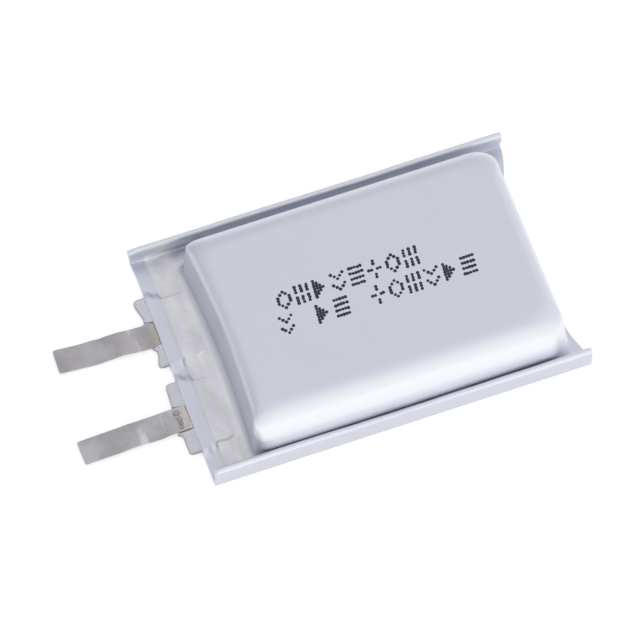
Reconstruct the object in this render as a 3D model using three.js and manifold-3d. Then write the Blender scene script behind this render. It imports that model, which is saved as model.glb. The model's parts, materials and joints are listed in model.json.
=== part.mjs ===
// Lithium-polymer pouch cell: a wound electrode roll in a heat-sealed aluminium-laminate pouch, with
// one drawn cup facing up, a sealed terrace at the tab end, two side seals folded up as hemmed wings,
// and a folded tail. Millimetres, +Z up. X runs from the terrace edge (-X) to the tail (+X), Y across
// the cell, and the origin is the centre of the sealed footprint on the flat back of the pouch.
import * as THREE from "three";
import { mergeVertices } from "three/addons/utils/BufferGeometryUtils.js";
import Module from "manifold-3d";

const wasm = await Module();
wasm.setup();

// ---------- Driving dimensions ----------
const CELL_LENGTH = 30; // terrace edge to the ends of the wings
const CELL_WIDTH = 20; // over both folded wings
const CELL_THICKNESS = 6; // flat back to the top of the cup

const LAMINATE = 0.113; // nylon, aluminium foil and polypropylene, pressed into one sheet
const LAYER_GAP = 0.01; // left between faces that are sealed, taped or pressed together

// Wings: the two-layer side seals, turned up, with their free edge folded inwards and down.
const WING_HEIGHT = 2.35;
const WING_BEND_RADIUS = 0.3; // outside of the bend at the back of the cell
const HEM_DEPTH = 1.0; // top of the wing to the free edge of the hem
const HEM_FOLD_GAP = 0.02; // left inside the tight fold

// Cup: drawn into the front sheet.
const TERRACE_DEPTH = 3.55; // terrace edge to the foot of the cup's head wall
const TAIL_SETBACK = 0.8; // tail fold back from the wing ends
const CREVICE_NEAR = 0.15; // hem to cup wall on the -Y side
const CREVICE_FAR = 1.5; // hem to cup wall on the +Y side
const SHOULDER_RADIUS = 1.9; // long edges, where the sheet is drawn over the round of the roll
const HEAD_EDGE_RADIUS = 0.6; // tight edge over the terrace
const TAIL_EDGE_RADIUS = 1.1;
const HEAD_DRAFT = 3; // degrees from upright
const TAIL_DRAFT = 9;
const HEAD_CORNER_RADIUS = 0.9; // in plan
const TAIL_CORNER_RADIUS = 1.8;
const EAR_WIDTH = 3.5; // the tail fold flares out to each wing over this width

// Tabs and leads.
const TAB_WIDTH = 2;
const TAB_THICKNESS = 0.1;
const POSITIVE_TAB_Y = -3.93;
const NEGATIVE_TAB_Y = 3.41;
const POSITIVE_TAB_REACH = 8.7; // terrace edge to tip
const NEGATIVE_TAB_REACH = 8;
const POSITIVE_SPLAY = 1.45; // degrees, each tab leaning away from the other
const NEGATIVE_SPLAY = -2.1;
const BEND_LINE = 1.9; // terrace edge to the line where a tab is bent
const BEND_CLEARANCE = 0.02; // round end of a tab to the end of its root
const WELD_OVERLAP = 0.85; // nickel strip over the aluminium lead
const STRIP_START = 0.1; // terrace edge to the inner end of the nickel strip
const WELD_COUNT = 4;
const WELD_RADIUS = 0.16;
const WELD_DEPTH = 0.03;
const WELD_FLOOR_RATIO = 0.6; // floor of a weld crater to its rim
const LEAD_IN_ROLL = 6; // head end of the roll to the inner end of a lead
const LEAD_BEND_RADIUS = 0.3;

// Sealant film: two strips pressed round each lead.
const FILM_THICKNESS = 0.07;
const POSITIVE_FILM_NEAR = 3.07; // tab centre to the film's -Y end
const POSITIVE_FILM_FAR = 3.05;
const NEGATIVE_FILM_NEAR = 2.81;
const NEGATIVE_FILM_FAR = 3.19;
const POSITIVE_FILM_OUT = 0.95; // film shown past the terrace edge
const NEGATIVE_FILM_OUT = 0.8;
const FILM_IN = 0.25; // film past the foot of the head wall, inside the cup
const FILM_CORNER_RADIUS = 0.35;
const FILM_SIDE_CLEARANCE = 0.02;

// Electrode roll.
const CATHODE_THICKNESS = 0.115;
const ANODE_THICKNESS = 0.115;
const SEPARATOR_THICKNESS = 0.03;
const TAPE_THICKNESS = 0.04;
const ROLL_CLEARANCE = 0.1; // roll to the inside of the pouch, above, below and at the sides
const ROLL_HEAD_CLEARANCE = 0.7; // roll to the inside of the head wall, where the leads rise
const ROLL_TAIL_CLEARANCE = 0.15; // roll to the inside of the tail edge at the roll's top
const SEPARATOR_OVERHANG = 0.3; // separator past the anode at each end
const ANODE_OVERHANG = 0.2; // anode past the cathode at each end
const LEAD_TAPE_WIDTH = 3.2;
const LEAD_TAPE_PAST_END = 0.6;
const TAIL_TAPE_WIDTH = 8;
const TAIL_TAPE_RETURN = 3; // how far the tail tape runs back along each face of the roll
const TAIL_TAPE_CORNER_RADIUS = 0.1;
const CLOSING_TAPE_LIP = 0.008; // in turns: past the roll's end before the tape steps down
const CLOSING_TAPE_STEP = 0.02;
const CLOSING_TAPE_RUN_ON = 0.15; // in turns: held on the turn below

// Facets.
const ARC_STEPS = 6; // per rounded corner
const WIND_STEPS = 8; // per half turn of the roll
const WELD_FACETS = 12;
const NEARLY_ALL = 1 - 1e-4; // keeps two arcs that meet from sharing a point

// ---------- Places worked out from the sizes ----------
const edgeX = -CELL_LENGTH / 2;
const wingEndX = CELL_LENGTH / 2;
const tailFoldX = wingEndX - TAIL_SETBACK;
const sideY = CELL_WIDTH / 2;
const frontBottomZ = LAMINATE + LAYER_GAP;
const frontTopZ = frontBottomZ + LAMINATE;
const sealedThickness = 2 * LAMINATE + LAYER_GAP;
const hemFoldRadius = sealedThickness + HEM_FOLD_GAP / 2;
const hemThickness = 2 * hemFoldRadius;
const cupNearY = -sideY + hemThickness + CREVICE_NEAR;
const cupFarY = sideY - hemThickness - CREVICE_FAR;
const cupHeadX = edgeX + TERRACE_DEPTH;

const leadBottomZ = frontBottomZ + FILM_THICKNESS + LAYER_GAP;
const leadTopZ = leadBottomZ + TAB_THICKNESS;
const leadMidZ = (leadBottomZ + leadTopZ) / 2;
const stripBottomZ = leadTopZ + LAYER_GAP;
const stripTopZ = stripBottomZ + TAB_THICKNESS;
const filmTopZ = leadTopZ + LAYER_GAP + FILM_THICKNESS;
const filmOverStripZ = stripTopZ + LAYER_GAP + FILM_THICKNESS;

const radians = (degrees) => (degrees * Math.PI) / 180;
const tan = (degrees) => Math.tan(radians(degrees));

// ---------- Outlines ----------
// Corners are [x, y, radius], counter-clockwise. The outline is moved in by inset, square to each
// side, and each rounded corner keeps its centre.
function outline(corners, inset = 0) {
  const count = corners.length;
  const sides = corners.map(([x, y], i) => {
    const [nextX, nextY] = corners[(i + 1) % count];
    const length = Math.hypot(nextX - x, nextY - y);
    const along = [(nextX - x) / length, (nextY - y) / length];
    return { start: [x - along[1] * inset, y + along[0] * inset], along };
  });
  const points = [];
  corners.forEach(([, , radius = 0], i) => {
    const before = sides[(i + count - 1) % count];
    const after = sides[i];
    const cross = before.along[0] * after.along[1] - before.along[1] * after.along[0];
    const gapX = after.start[0] - before.start[0];
    const gapY = after.start[1] - before.start[1];
    const run = (gapX * after.along[1] - gapY * after.along[0]) / cross;
    const corner = [before.start[0] + before.along[0] * run, before.start[1] + before.along[1] * run];
    const cornerRadius = radius > 0 ? Math.max(radius - Math.sign(cross) * inset, 0) : 0;
    if (cornerRadius === 0) {
      points.push(new THREE.Vector2(...corner));
      return;
    }
    const turn = Math.atan2(cross, before.along[0] * after.along[0] + before.along[1] * after.along[1]);
    const reach = cornerRadius * Math.tan(Math.abs(turn) / 2);
    const side = Math.sign(turn);
    const centre = [
      corner[0] - before.along[0] * reach - before.along[1] * cornerRadius * side,
      corner[1] - before.along[1] * reach + before.along[0] * cornerRadius * side,
    ];
    const first = Math.atan2(-before.along[0] * side, before.along[1] * side);
    for (let step = 0; step <= ARC_STEPS; step += 1) {
      const angle = first + (turn * step) / ARC_STEPS;
      points.push(
        new THREE.Vector2(
          centre[0] + cornerRadius * Math.cos(angle),
          centre[1] + cornerRadius * Math.sin(angle),
        ),
      );
    }
  });
  return points;
}

// A path is a list of { point, normal } with the normal on its left. A straight-sided path is rounded
// at each inner corner, and a band of it lies between two distances from the path along the normal.
function roundedPath(corners) {
  const samples = [];
  const place = ([x, y]) => new THREE.Vector2(x, y);
  const unit = (from, to) => to.clone().sub(from).normalize();
  const left = (along) => new THREE.Vector2(-along.y, along.x);
  corners.forEach(([x, y, radius = 0], i) => {
    const corner = place([x, y]);
    const before = i > 0 ? unit(place(corners[i - 1]), corner) : null;
    const after = i < corners.length - 1 ? unit(corner, place(corners[i + 1])) : null;
    if (!before || !after) {
      samples.push({ point: corner, normal: left(before ?? after) });
      return;
    }
    const turn = Math.atan2(before.cross(after), before.dot(after));
    const side = Math.sign(turn);
    const centre = corner
      .clone()
      .addScaledVector(before, -radius * Math.tan(Math.abs(turn) / 2))
      .addScaledVector(left(before), radius * side);
    for (let step = 0; step <= ARC_STEPS; step += 1) {
      const normal = left(before).rotateAround(new THREE.Vector2(), (turn * step) / ARC_STEPS);
      samples.push({ point: centre.clone().addScaledVector(normal, -radius * side), normal });
    }
  });
  return samples;
}

function band(samples, from, to) {
  const at = (distance) =>
    samples.map(({ point, normal }) => point.clone().addScaledVector(normal, distance));
  return [...at(from), ...at(to).reverse()];
}

// ---------- Solids ----------
function solid(geometry) {
  geometry.deleteAttribute("normal");
  geometry.deleteAttribute("uv");
  const merged = mergeVertices(geometry, 1e-5);
  return new wasm.Manifold(
    new wasm.Mesh({
      numProp: 3,
      vertProperties: new Float32Array(merged.attributes.position.array),
      triVerts: new Uint32Array(merged.index.array),
    }),
  );
}

function extrude(points, depth) {
  return new THREE.ExtrudeGeometry(new THREE.Shape(points), { depth, bevelEnabled: false });
}

// A YZ section drawn along X.
function alongX(points, fromX, toX) {
  const turned = new THREE.Matrix4().makeBasis(
    new THREE.Vector3(0, 1, 0),
    new THREE.Vector3(0, 0, 1),
    new THREE.Vector3(1, 0, 0),
  );
  return extrude(points, toX - fromX).applyMatrix4(turned).translate(fromX, 0, 0);
}

// An XZ section drawn along Y.
function alongY(points, fromY, toY) {
  const turned = new THREE.Matrix4().makeBasis(
    new THREE.Vector3(1, 0, 0),
    new THREE.Vector3(0, 0, 1),
    new THREE.Vector3(0, -1, 0),
  );
  return extrude(points, toY - fromY).applyMatrix4(turned).translate(0, toY, 0);
}

// An XY outline drawn along Z.
function alongZ(points, fromZ, toZ) {
  return extrude(points, toZ - fromZ).translate(0, 0, fromZ);
}

function block(fromX, toX, fromY, toY, fromZ, toZ) {
  return new THREE.BoxGeometry(toX - fromX, toY - fromY, toZ - fromZ).translate(
    (fromX + toX) / 2,
    (fromY + toY) / 2,
    (fromZ + toZ) / 2,
  );
}

function geometryOf(shape) {
  const mesh = shape.getMesh();
  const geometry = new THREE.BufferGeometry();
  geometry.setAttribute("position", new THREE.BufferAttribute(mesh.vertProperties, 3));
  geometry.setIndex(new THREE.BufferAttribute(mesh.triVerts, 1));
  geometry.computeVertexNormals();
  return geometry;
}

// ---------- Materials ----------
const look = (color, metalness, roughness) => () =>
  new THREE.MeshStandardMaterial({ color, metalness, roughness, flatShading: true });
const laminateSilver = look(0xcdcdd8, 0.7, 0.4);
const sealantFilm = look(0xd2d2d8, 0, 0.45);
const nickel = look(0xa5a3a8, 1, 0.35);
const aluminium = look(0xc9c8cc, 1, 0.4);
const cathodeCoat = look(0x2a2a2c, 0, 0.9);
const anodeCoat = look(0x35363a, 0.1, 0.8);
const separatorWhite = look(0xf1f1ee, 0, 0.7);
const brownTape = look(0xb98a3c, 0, 0.4);

const cell = new THREE.Group();

function add(name, geometry, material, parent = cell) {
  const mesh = new THREE.Mesh(geometry, material());
  mesh.name = name;
  parent.add(mesh);
  return mesh;
}

// ---------- Pouch ----------
// One wing, from the middle of the back to the free edge of the hem, for the +Y side.
function wingPath() {
  const innerY = sideY - hemThickness;
  return roundedPath([
    [0, 0],
    [sideY, 0, WING_BEND_RADIUS],
    [sideY, WING_HEIGHT, hemFoldRadius * NEARLY_ALL],
    [innerY, WING_HEIGHT, hemFoldRadius * NEARLY_ALL],
    [innerY, WING_HEIGHT - HEM_DEPTH],
  ]);
}

// A sheet that lies flat between the wings and follows both of them.
function wingedSheet(from, to) {
  const far = wingPath().slice(1);
  const near = far
    .map(({ point, normal }) => ({
      point: new THREE.Vector2(-point.x, point.y),
      normal: new THREE.Vector2(-normal.x, normal.y),
    }))
    .reverse();
  return solid(alongX(band([...near, ...far], from, to), edgeX, wingEndX));
}

// What is open past the tail fold: the fold runs straight behind the cup and flares out to the wings.
function pastTailFold() {
  const flatY = sideY - WING_BEND_RADIUS;
  const straightY = flatY - EAR_WIDTH;
  const ear = [];
  for (let step = 0; step <= ARC_STEPS; step += 1) {
    const share = step / ARC_STEPS;
    ear.push([tailFoldX + TAIL_SETBACK * share ** 2, straightY + EAR_WIDTH * share]);
  }
  const points = [
    ...ear.map(([x, y]) => new THREE.Vector2(x, -y)).reverse(),
    ...ear.map(([x, y]) => new THREE.Vector2(x, y)),
    new THREE.Vector2(wingEndX + 1, flatY),
    new THREE.Vector2(wingEndX + 1, -flatY),
  ];
  return solid(alongZ(points.reverse(), -1, CELL_THICKNESS));
}

// The cup, as the common part of its section, its side view and its plan.
function cup(inset, bottomZ) {
  const wallHeight = CELL_THICKNESS - frontBottomZ;
  const headLean = wallHeight * tan(HEAD_DRAFT);
  const tailLean = wallHeight * tan(TAIL_DRAFT);
  const drop = frontBottomZ - bottomZ + 1;
  const section = outline(
    [
      [cupNearY, frontBottomZ - drop],
      [cupFarY, frontBottomZ - drop],
      [cupFarY, CELL_THICKNESS, SHOULDER_RADIUS],
      [cupNearY, CELL_THICKNESS, SHOULDER_RADIUS],
    ],
    inset,
  );
  const sideView = outline(
    [
      [cupHeadX - drop * tan(HEAD_DRAFT), frontBottomZ - drop],
      [tailFoldX + drop * tan(TAIL_DRAFT), frontBottomZ - drop],
      [tailFoldX - tailLean, CELL_THICKNESS, TAIL_EDGE_RADIUS],
      [cupHeadX + headLean, CELL_THICKNESS, HEAD_EDGE_RADIUS],
    ],
    inset,
  );
  const plan = outline(
    [
      [cupHeadX, cupNearY, HEAD_CORNER_RADIUS],
      [tailFoldX, cupNearY, TAIL_CORNER_RADIUS],
      [tailFoldX, cupFarY, TAIL_CORNER_RADIUS],
      [cupHeadX, cupFarY, HEAD_CORNER_RADIUS],
    ],
    inset,
  );
  return solid(alongX(section, edgeX, wingEndX))
    .intersect(solid(alongY(sideView, -sideY, sideY)))
    .intersect(solid(alongZ(plan, bottomZ, CELL_THICKNESS)));
}

// The raised channel in the terrace over one film strip. The inner form is the space under the sheet.
function filmChannel(tabY, near, far, grow, bottomZ) {
  const fromY = tabY - near - FILM_SIDE_CLEARANCE;
  const toY = tabY + far + FILM_SIDE_CLEARANCE;
  const topZ = filmTopZ + LAYER_GAP;
  const drop = 1;
  const points = outline(
    [
      [fromY - topZ - drop, -drop],
      [toY + topZ + drop, -drop],
      [toY, topZ],
      [fromY, topZ],
    ],
    -grow,
  );
  const wallX = cupHeadX + topZ * tan(HEAD_DRAFT) + LAMINATE;
  const outside = grow > 0 ? 0 : 1;
  const channel = solid(alongX(points, edgeX - outside, wallX));
  const below = solid(block(edgeX - 2, wallX + 1, -sideY, sideY, -drop - 1, bottomZ));
  return channel.subtract(below);
}

const filmZones = [
  [POSITIVE_TAB_Y, POSITIVE_FILM_NEAR, POSITIVE_FILM_FAR],
  [NEGATIVE_TAB_Y, NEGATIVE_FILM_NEAR, NEGATIVE_FILM_FAR],
];

function pouchFront() {
  let sheet = wingedSheet(frontBottomZ, frontTopZ).subtract(pastTailFold());
  sheet = sheet.add(cup(0, frontBottomZ));
  filmZones.forEach((zone) => {
    sheet = sheet.add(filmChannel(...zone, LAMINATE, frontBottomZ));
  });
  sheet = sheet.subtract(cup(LAMINATE, frontBottomZ - LAMINATE));
  filmZones.forEach((zone) => {
    sheet = sheet.subtract(filmChannel(...zone, 0, frontBottomZ - LAMINATE));
  });
  return sheet;
}

add("pouch_back", geometryOf(wingedSheet(0, LAMINATE).subtract(pastTailFold())), laminateSilver);
add("pouch_front", geometryOf(pouchFront()), laminateSilver);

// ---------- Electrode roll ----------
const cavityBottomZ = LAMINATE;
const cavityTopZ = CELL_THICKNESS - LAMINATE;
const rollMidZ = (cavityBottomZ + cavityTopZ) / 2;
const rollHalfThickness = (cavityTopZ - cavityBottomZ) / 2 - ROLL_CLEARANCE;
const rollMidY = (cupNearY + cupFarY) / 2;
const rollHalfWidth = (cupFarY - cupNearY) / 2 - LAMINATE - ROLL_CLEARANCE;
const rollTopZ = rollMidZ + rollHalfThickness;
const headWallX = (z) =>
  cupHeadX + (z - frontBottomZ) * tan(HEAD_DRAFT) + LAMINATE / Math.cos(radians(HEAD_DRAFT));
const rollHeadX = headWallX(CELL_THICKNESS) + ROLL_HEAD_CLEARANCE;
const tailEdgeX = tailFoldX - (CELL_THICKNESS - frontBottomZ) * tan(TAIL_DRAFT) - LAMINATE;
const rollTailX = tailEdgeX - TAIL_EDGE_RADIUS / 2 - ROLL_TAIL_CLEARANCE;

// Layers of one turn, counted outwards from the winding line.
const innerSeparatorAt = 0;
const anodeAt = innerSeparatorAt + SEPARATOR_THICKNESS + LAYER_GAP;
const outerSeparatorAt = anodeAt + ANODE_THICKNESS + LAYER_GAP;
const cathodeAt = outerSeparatorAt + SEPARATOR_THICKNESS + LAYER_GAP;
const pitch = cathodeAt + CATHODE_THICKNESS + LAYER_GAP;
// The winding starts round a lead with its tape, and ends under the closing tape.
const coreRadius = TAB_THICKNESS / 2 + TAPE_THICKNESS + 3 * LAYER_GAP;
const windRadius = rollHalfThickness - 2 * LAYER_GAP - TAPE_THICKNESS;
// Whole half turns and a quarter, so that the roll ends where a flat begins.
const QUARTER_TURN = 0.25;
const roomInTurns = (windRadius - coreRadius) / pitch - 1;
const turns = Math.floor((roomInTurns - QUARTER_TURN) * 2) / 2 + QUARTER_TURN;
const straightHalf = rollHalfWidth - rollHalfThickness;

// The place on the winding at a count of turns: far round, top flat, near round, bottom flat.
function windingSample(turn, radius) {
  const part = turn - Math.floor(turn);
  const quarter = Math.floor(part * 4 + 1e-9);
  const share = part * 4 - quarter;
  const onRound = quarter % 2 === 0;
  const side = quarter < 2 ? 1 : -1;
  const angle = -Math.PI / 2 + (onRound ? Math.PI * share : Math.PI) + (quarter < 2 ? 0 : Math.PI);
  const centre = onRound ? side * straightHalf : side * straightHalf * (1 - 2 * share);
  return new THREE.Vector2(
    rollMidY + centre + radius * Math.cos(angle),
    rollMidZ + radius * Math.sin(angle),
  );
}

function windingTurns(from, to) {
  const steps = [from];
  for (let quarter = Math.round(from * 4); quarter < Math.round(to * 4); quarter += 1) {
    if (quarter % 2 === 0) {
      for (let step = 1; step < WIND_STEPS; step += 1) steps.push((quarter + step / WIND_STEPS) / 4);
    }
    steps.push((quarter + 1) / 4);
  }
  return steps;
}

function woundStrip(from, to, at, thickness) {
  const steps = windingTurns(from, to);
  const layer = (offset) => steps.map((turn) => windingSample(turn, coreRadius + pitch * turn + offset));
  return [...layer(at + thickness), ...layer(at).reverse()];
}

function addWound(name, from, to, at, thickness, overhang, material) {
  const points = woundStrip(from, to, at, thickness);
  add(name, alongX(points, rollHeadX + overhang, rollTailX - overhang), material);
}

addWound("separator_inner", 0, turns, innerSeparatorAt, SEPARATOR_THICKNESS, 0, separatorWhite);
addWound(
  "anode",
  QUARTER_TURN,
  turns - QUARTER_TURN,
  anodeAt,
  ANODE_THICKNESS,
  SEPARATOR_OVERHANG,
  anodeCoat,
);
addWound("separator_outer", 0, turns, outerSeparatorAt, SEPARATOR_THICKNESS, 0, separatorWhite);
addWound(
  "cathode",
  2 * QUARTER_TURN,
  turns - 2 * QUARTER_TURN,
  cathodeAt,
  CATHODE_THICKNESS,
  SEPARATOR_OVERHANG + ANODE_OVERHANG,
  cathodeCoat,
);

// The closing tape covers the last round, steps down off the roll's end and holds the turn below.
function closingTape() {
  const held = windingTurns(turns - QUARTER_TURN, turns).map((turn) => [turn, pitch + LAYER_GAP]);
  const lip = [turns + CLOSING_TAPE_LIP, pitch + LAYER_GAP];
  const below = [CLOSING_TAPE_STEP, CLOSING_TAPE_RUN_ON].map((past) => [turns + past, LAYER_GAP]);
  const steps = [...held, lip, ...below];
  const layer = (extra) =>
    steps.map(([turn, offset]) => windingSample(turn, coreRadius + pitch * turn + offset + extra));
  return [...layer(TAPE_THICKNESS), ...layer(0).reverse()];
}
add(
  "closing_tape",
  alongX(closingTape(), rollHeadX + SEPARATOR_OVERHANG, rollTailX - SEPARATOR_OVERHANG),
  brownTape,
);

// The tail tape wraps the end of the roll from face to face.
const tailTapePath = roundedPath([
  [rollTailX - TAIL_TAPE_RETURN, rollMidZ - rollHalfThickness - LAYER_GAP],
  [rollTailX + 2 * LAYER_GAP, rollMidZ - rollHalfThickness - LAYER_GAP, TAIL_TAPE_CORNER_RADIUS],
  [rollTailX + 2 * LAYER_GAP, rollTopZ + LAYER_GAP, TAIL_TAPE_CORNER_RADIUS],
  [rollTailX - TAIL_TAPE_RETURN, rollTopZ + LAYER_GAP],
]);
add(
  "tail_tape",
  alongY(
    band(tailTapePath, 0, -TAPE_THICKNESS).reverse(),
    rollMidY - TAIL_TAPE_WIDTH / 2,
    rollMidY + TAIL_TAPE_WIDTH / 2,
  ),
  brownTape,
);

// ---------- Tabs, leads and sealant film ----------
// Each tab and its lead are drawn along X with the terrace edge at x = 0, and turned by the splay
// about the point where the tab crosses that edge.
const riseX = (headWallX(rollMidZ) + rollHeadX) / 2 - edgeX;
const leadEndX = rollHeadX + LEAD_IN_ROLL - edgeX;

function splayed(tabY, splay) {
  const group = new THREE.Group();
  group.position.set(edgeX, tabY, 0);
  group.rotation.z = radians(splay);
  cell.add(group);
  return group;
}

// A lead from x = startX, through the seal, up beside the roll and into its core.
function lead(startX) {
  const path = roundedPath([
    [startX, leadMidZ],
    [riseX, leadMidZ, LEAD_BEND_RADIUS],
    [riseX, rollMidZ, LEAD_BEND_RADIUS],
    [leadEndX, rollMidZ],
  ]);
  return alongY(band(path, -TAB_THICKNESS / 2, TAB_THICKNESS / 2), -TAB_WIDTH / 2, TAB_WIDTH / 2);
}

// The part of a tab past its bend line, with a round end at the bend.
function bentTab(reach, midZ) {
  const half = TAB_THICKNESS / 2;
  const points = [new THREE.Vector2(-reach, midZ + half), new THREE.Vector2(-reach, midZ - half)];
  for (let step = 0; step <= ARC_STEPS; step += 1) {
    const angle = -Math.PI / 2 + (Math.PI * step) / ARC_STEPS;
    points.push(new THREE.Vector2(-BEND_LINE + half * Math.cos(angle), midZ + half * Math.sin(angle)));
  }
  return alongY(points, -TAB_WIDTH / 2, TAB_WIDTH / 2);
}

const rootEndX = -BEND_LINE + TAB_THICKNESS / 2 + BEND_CLEARANCE;
const stripMidZ = (stripBottomZ + stripTopZ) / 2;
const weldX = -(STRIP_START + WELD_OVERLAP / 2);

// The nickel strip's fixed end, with a row of shallow weld craters across it.
function stripRoot() {
  let strip = solid(block(rootEndX, -STRIP_START, -TAB_WIDTH / 2, TAB_WIDTH / 2, stripBottomZ, stripTopZ));
  for (let weld = 0; weld < WELD_COUNT; weld += 1) {
    const weldY = TAB_WIDTH * ((weld + 0.5) / WELD_COUNT - 0.5);
    const floorRadius = WELD_RADIUS * WELD_FLOOR_RATIO;
    const crater = new THREE.CylinderGeometry(WELD_RADIUS, floorRadius, 2 * WELD_DEPTH, WELD_FACETS)
      .rotateX(Math.PI / 2)
      .translate(weldX, weldY, stripTopZ);
    strip = strip.subtract(solid(crater));
  }
  return geometryOf(strip);
}

// The space that a lead, and a strip lying on it, takes up in the film.
function recess(tabY, splay, withStrip) {
  const halfWidth = TAB_WIDTH / 2 + LAYER_GAP;
  const place = new THREE.Matrix4().makeRotationZ(radians(splay)).setPosition(edgeX, tabY, 0);
  const around = (fromX, toX, fromZ, toZ) =>
    solid(
      block(fromX, toX, -halfWidth, halfWidth, fromZ - LAYER_GAP, toZ + LAYER_GAP).applyMatrix4(place),
    );
  const space = around(-BEND_LINE, 2 * TERRACE_DEPTH, leadBottomZ, leadTopZ);
  if (!withStrip) return space;
  return space.add(around(-BEND_LINE, -STRIP_START + LAYER_GAP, stripBottomZ, stripTopZ));
}

function addFilms(name, tabY, near, far, out, splay, withStrip) {
  const outline2d = outline([
    [edgeX - out, tabY - near, FILM_CORNER_RADIUS],
    [cupHeadX + FILM_IN, tabY - near],
    [cupHeadX + FILM_IN, tabY + far],
    [edgeX - out, tabY + far, FILM_CORNER_RADIUS],
  ]);
  const lower = solid(alongZ(outline2d, frontBottomZ, leadMidZ - LAYER_GAP / 2));
  let upper = solid(alongZ(outline2d, leadMidZ + LAYER_GAP / 2, filmTopZ));
  if (withStrip) {
    const halfWidth = TAB_WIDTH / 2 + 2 * FILM_THICKNESS;
    const overStrip = block(
      edgeX - out,
      edgeX - 2 * LAYER_GAP,
      tabY - halfWidth,
      tabY + halfWidth,
      leadMidZ + LAYER_GAP,
      filmOverStripZ,
    );
    upper = upper.add(solid(overStrip));
  }
  const space = recess(tabY, splay, withStrip);
  add(name + "_film_lower", geometryOf(lower.subtract(space)), sealantFilm);
  add(name + "_film_upper", geometryOf(upper.subtract(space)), sealantFilm);
}

function leadTape() {
  const fromX = rollHeadX + SEPARATOR_OVERHANG - edgeX;
  const bottomZ = rollMidZ + TAB_THICKNESS / 2 + LAYER_GAP;
  return block(
    fromX,
    leadEndX + LEAD_TAPE_PAST_END,
    -LEAD_TAPE_WIDTH / 2,
    LEAD_TAPE_WIDTH / 2,
    bottomZ,
    bottomZ + TAPE_THICKNESS,
  );
}

const positive = splayed(POSITIVE_TAB_Y, POSITIVE_SPLAY);
add("positive_lead", lead(-STRIP_START - WELD_OVERLAP), aluminium, positive);
add("positive_tab_root", stripRoot(), nickel, positive);
add("positive_tab", bentTab(POSITIVE_TAB_REACH, stripMidZ), nickel, positive);
add("positive_lead_tape", leadTape(), brownTape, positive);

const negative = splayed(NEGATIVE_TAB_Y, NEGATIVE_SPLAY);
add("negative_lead", lead(rootEndX), nickel, negative);
add("negative_tab", bentTab(NEGATIVE_TAB_REACH, leadMidZ), nickel, negative);
add("negative_lead_tape", leadTape(), brownTape, negative);

addFilms(
  "positive",
  POSITIVE_TAB_Y,
  POSITIVE_FILM_NEAR,
  POSITIVE_FILM_FAR,
  POSITIVE_FILM_OUT,
  POSITIVE_SPLAY,
  true,
);
addFilms(
  "negative",
  NEGATIVE_TAB_Y,
  NEGATIVE_FILM_NEAR,
  NEGATIVE_FILM_FAR,
  NEGATIVE_FILM_OUT,
  NEGATIVE_SPLAY,
  false,
);

export default cell;
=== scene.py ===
# Lithium-polymer pouch cell: a wound electrode roll sealed in an aluminium-laminate pouch with one
# drawn cup, folded side wings, a sealed terrace and two nickel tabs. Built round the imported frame,
# in its own axes: X along the cell from the tabs to the tail, Y across it, Z out through the cup.
import json
import math
import random

import bpy
import numpy as np
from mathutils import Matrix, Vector, noise


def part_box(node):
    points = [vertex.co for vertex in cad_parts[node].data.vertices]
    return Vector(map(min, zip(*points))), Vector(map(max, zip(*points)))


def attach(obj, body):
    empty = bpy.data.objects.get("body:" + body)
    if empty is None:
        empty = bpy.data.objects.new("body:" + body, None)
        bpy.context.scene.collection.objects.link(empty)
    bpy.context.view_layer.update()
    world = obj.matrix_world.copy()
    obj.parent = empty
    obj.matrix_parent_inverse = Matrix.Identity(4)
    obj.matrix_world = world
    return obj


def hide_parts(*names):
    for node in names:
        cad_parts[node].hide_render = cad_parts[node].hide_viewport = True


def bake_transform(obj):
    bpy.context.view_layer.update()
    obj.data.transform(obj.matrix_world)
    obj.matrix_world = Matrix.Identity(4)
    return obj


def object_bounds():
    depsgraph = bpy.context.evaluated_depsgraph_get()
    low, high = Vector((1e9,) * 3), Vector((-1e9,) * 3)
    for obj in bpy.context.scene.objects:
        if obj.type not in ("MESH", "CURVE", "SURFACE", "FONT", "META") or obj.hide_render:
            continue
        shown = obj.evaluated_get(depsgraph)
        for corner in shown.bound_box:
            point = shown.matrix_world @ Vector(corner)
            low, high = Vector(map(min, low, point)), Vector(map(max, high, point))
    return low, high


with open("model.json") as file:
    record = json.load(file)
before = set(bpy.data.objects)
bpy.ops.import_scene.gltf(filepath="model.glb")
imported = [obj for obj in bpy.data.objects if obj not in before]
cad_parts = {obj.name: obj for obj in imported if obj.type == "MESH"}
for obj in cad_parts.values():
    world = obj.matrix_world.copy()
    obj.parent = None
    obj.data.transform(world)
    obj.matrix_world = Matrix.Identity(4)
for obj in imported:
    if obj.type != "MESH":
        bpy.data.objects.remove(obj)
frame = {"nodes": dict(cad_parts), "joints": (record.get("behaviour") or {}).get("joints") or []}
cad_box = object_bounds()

# ---------- Studio ----------
# A softly glowing white floor under the cell in a pale room, brighter on the near side, with a wide
# low soft box there and a weak one beyond the tail. The camera looks down on the cup from the tabs.
MM = 0.001
VIEW_AZIMUTH = math.radians(-19.75)
VIEW_ELEVATION = math.radians(63.4)
VIEW_DISTANCE = 0.5
VIEW_AIM = Vector((-3.24, 1.045, 0)) * MM
VIEW_LENS = 377.3
ROOM_BRIGHT_SIDE = (0.4, -0.85, 0.3)
ROOM_GLOW = (0.62, 1.05)  # on the dark side and on the bright side


def toward(azimuth, elevation):
    flat = math.cos(elevation)
    return Vector((math.sin(azimuth) * flat, -math.cos(azimuth) * flat, math.sin(elevation)))


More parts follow.
